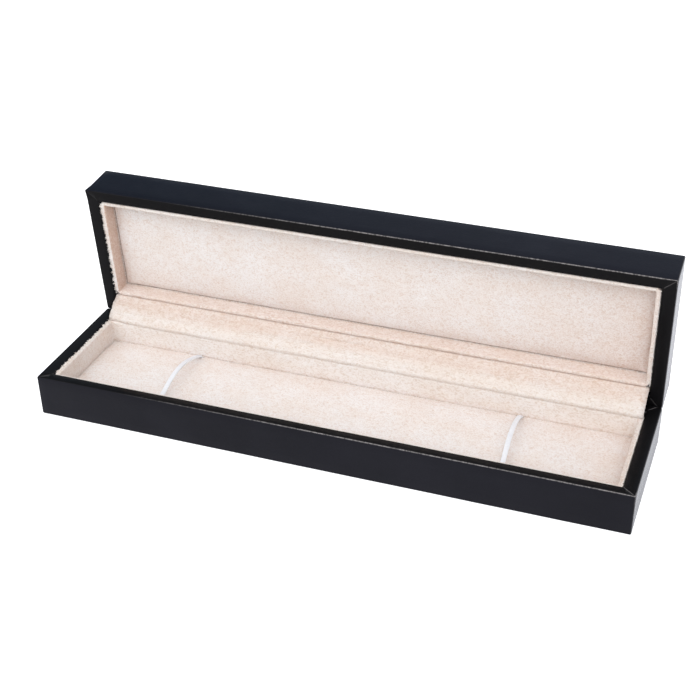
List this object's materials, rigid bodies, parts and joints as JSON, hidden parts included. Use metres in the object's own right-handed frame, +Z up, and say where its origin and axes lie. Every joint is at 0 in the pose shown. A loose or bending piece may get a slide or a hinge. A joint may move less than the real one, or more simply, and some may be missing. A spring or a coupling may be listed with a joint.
{
  "type": "bracelet box",
  "caption": "Long, low leather jewelry box for a bracelet, standing open, with suede lining, padded insert, elastic straps and concealed hinges.",
  "frame": {"origin": "middle of the lower half's flat underside", "axes": "+X along the box, to the right as seen from the front; +Y from the front to the hinge side; +Z up"},
  "size_m": [0.24, 0.076, 0.0772],
  "materials": {
    "leather": "smooth, semi-gloss, very dark blue-black",
    "wood": "plain sanded",
    "suede": "cream suede, fine pile",
    "elastic": "flat white elastic, slight sheen",
    "foam": "soft foam, open cells",
    "card": "grey-brown pasteboard",
    "felt": "thin black felt",
    "steel": "plain stamped and turned"
  },
  "bodies": {
    "base": {"base_floor_board": "wood", "base_front_rail": "wood", "base_back_rail": "wood", "base_left_rail": "wood", "base_right_rail": "wood", "base_back_spacer": "wood", "base_leather": "leather", "base_bottom_sheet": "felt", "base_front_lining": "suede", "base_back_lining": "suede", "base_left_lining": "suede", "base_right_lining": "suede", "insert_foam": "foam", "insert_card": "card", "insert_pad": "suede", "strap_left": "elastic", "strap_right": "elastic", "base_hinge_leaf_left": "steel", "base_hinge_leaf_right": "steel", "hinge_pin_left": "steel", "hinge_pin_right": "steel", "base_screw_1": "steel", "base_screw_2": "steel", "base_screw_3": "steel", "base_screw_4": "steel", "hinge_flap": "suede"},
    "lid": {"lid_top_board": "wood", "lid_front_rail": "wood", "lid_back_rail": "wood", "lid_left_rail": "wood", "lid_right_rail": "wood", "lid_back_spacer": "wood", "lid_leather": "leather", "lid_front_lining": "suede", "lid_back_lining": "suede", "lid_left_lining": "suede", "lid_right_lining": "suede", "ceiling_foam": "foam", "ceiling_card": "card", "ceiling_pad": "suede", "lid_hinge_leaf_left": "steel", "lid_hinge_leaf_right": "steel", "lid_screw_1": "steel", "lid_screw_2": "steel", "lid_screw_3": "steel", "lid_screw_4": "steel"}
  },
  "joints": [
    {"name": "lid_hinge", "type": "hinge", "parent": "base", "child": "lid", "pos_m": [0, 0.02785, 0.01785], "axis": [-1, 0, 0], "range_deg": [-85, 0], "deforming": ["hinge_flap"]}
  ]
}
